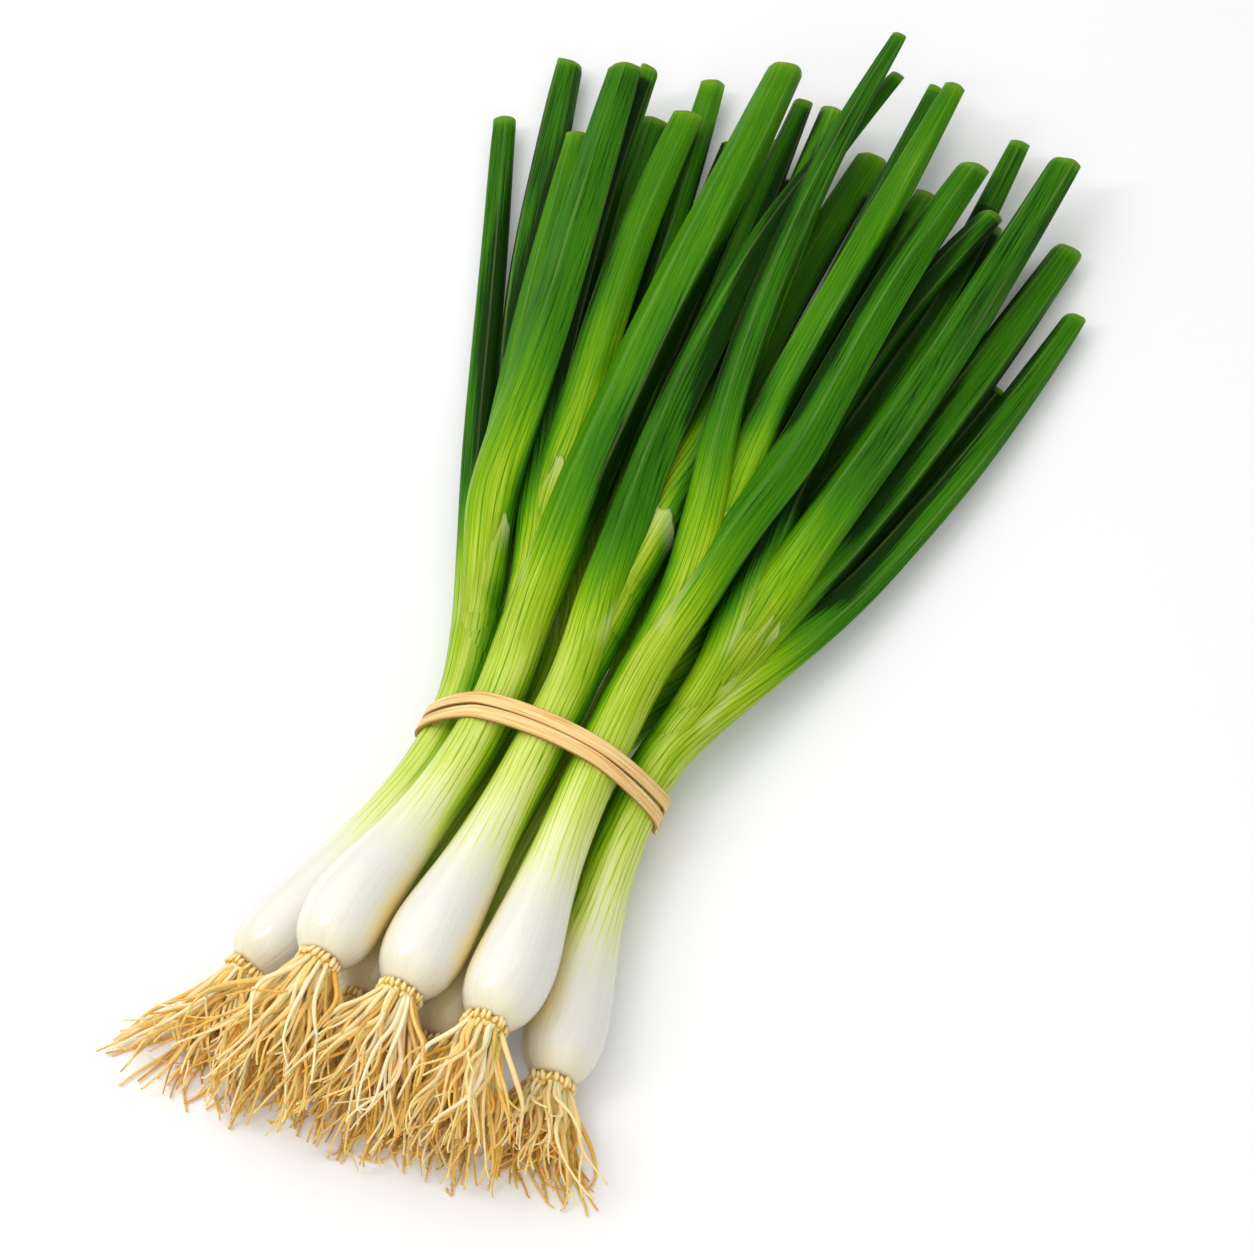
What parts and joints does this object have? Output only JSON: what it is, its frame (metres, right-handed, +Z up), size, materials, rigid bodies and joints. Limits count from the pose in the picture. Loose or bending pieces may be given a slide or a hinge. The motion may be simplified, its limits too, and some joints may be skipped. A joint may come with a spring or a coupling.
{
  "type": "spring onion bunch",
  "caption": "bunch of bulbed spring onions tied with an elastic band, lying flat, with white bulbs, straw-coloured root tufts and a fan of hollow green leaves cut square at the ends",
  "frame": {"origin": "on the table under the middle of the bunch's bounding box", "axes": "+Z up from the table, +Y along the bunch from the roots to the cut leaf ends, +X across the bunch, to the right when looking along +Y"},
  "size_m": [0.2012, 0.4236, 0.0454],
  "materials": {
    "shoot": "smooth waxy plant skin, glossy white at the bulb, yellow-green at the tie and deep green on the leaves",
    "roots": "dry matt straw-coloured roots",
    "tie": "matt tan elastic strip with a fine lengthwise grain"
  },
  "bodies": {
    "root": {"onion_1_shoot": "shoot", "onion_2_shoot": "shoot", "onion_3_shoot": "shoot", "onion_4_shoot": "shoot", "onion_5_shoot": "shoot", "onion_6_shoot": "shoot", "onion_7_shoot": "shoot", "onion_1_roots": "roots", "onion_2_roots": "roots", "onion_3_roots": "roots", "onion_4_roots": "roots", "onion_5_roots": "roots", "onion_6_roots": "roots", "onion_7_roots": "roots", "tie_band": "tie"}
  },
  "joints": []
}
